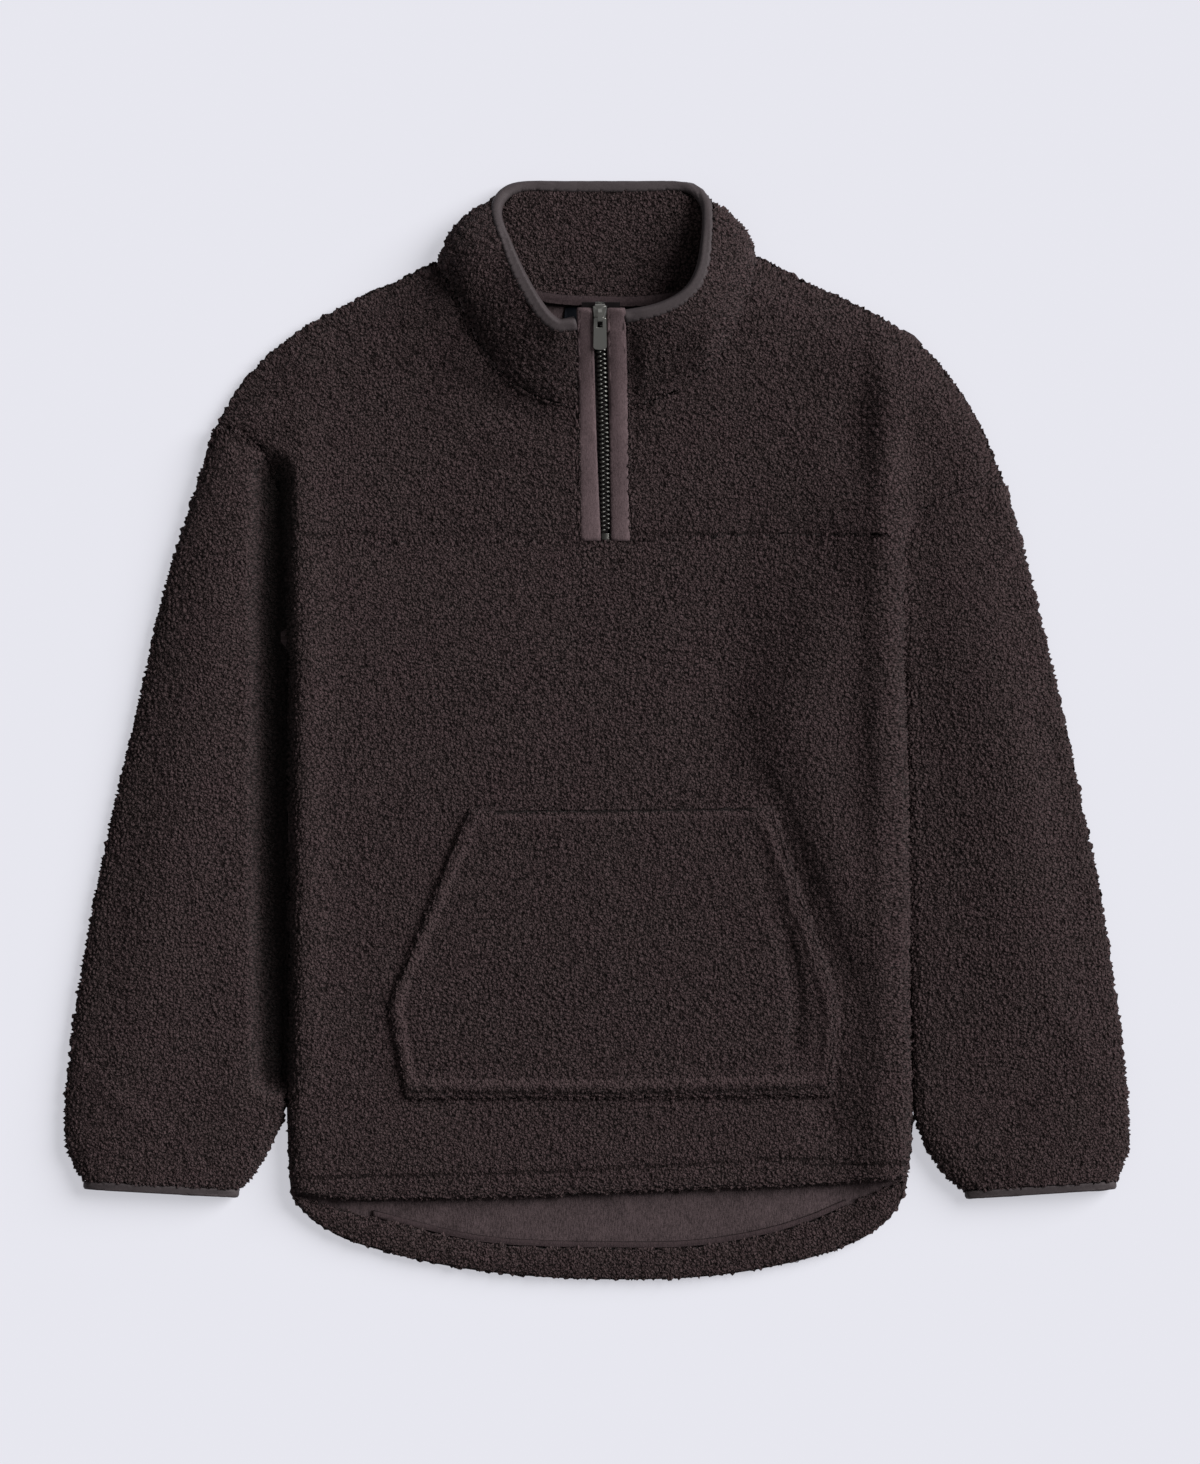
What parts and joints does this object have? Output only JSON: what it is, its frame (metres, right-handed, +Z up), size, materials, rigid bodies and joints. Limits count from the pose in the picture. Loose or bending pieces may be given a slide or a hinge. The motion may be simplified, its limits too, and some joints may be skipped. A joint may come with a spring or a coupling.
{
  "type": "quarter-zip boucle fleece pullover",
  "caption": "Dark brown boucle fleece pullover with a funnel collar, quarter zip and pouch pocket, lying flat with its sleeves folded down beside the body.",
  "frame": {"origin": "centre of the garment's outline on the surface that it lies on", "axes": "+X towards the right of the picture, which is the wearer's left, +Y from the hem up to the collar, +Z up from the surface through the back and then the front"},
  "size_m": [0.7983, 0.8222, 0.0532],
  "materials": {
    "boucle": "dark brown boucle fleece, looped curls with paler dusty tips",
    "knit": "smooth grey-brown knit backing and tape",
    "facing": "smooth mauve-brown stretch knit, matt",
    "binding": "fine ribbed grey-brown elastic binding",
    "zip_tape": "woven dark zip tape",
    "zip_metal": "dark gunmetal plating, worn brighter on the edges",
    "pull_metal": "satin nickel plating",
    "label": "woven black satin label, blank"
  },
  "bodies": {
    "garment": {"back": "boucle", "front_body": "boucle", "yoke_left": "boucle", "yoke_right": "boucle", "sleeve_left": "boucle", "sleeve_right": "boucle", "collar_outer": "boucle", "collar_inner": "boucle", "collar_binding": "binding", "neck_tape": "knit", "label": "label", "pocket": "boucle", "back_hem_band": "boucle", "hem_tape": "knit", "cuff_binding_left": "binding", "cuff_binding_right": "binding", "facing_left": "facing", "facing_right": "facing", "zip_tape_left": "zip_tape", "zip_tape_right": "zip_tape", "zip_chain": "zip_metal", "zip_stop": "zip_metal", "zip_slider": "zip_metal"},
    "pull": {"pull_tab": "pull_metal"}
  },
  "joints": [
    {"name": "pull_swing", "type": "hinge", "parent": "garment", "child": "pull", "pos_m": [0.00261, 0.3068, 0.0485], "axis": [-1, 0, 0], "range_deg": [0, 110]}
  ]
}
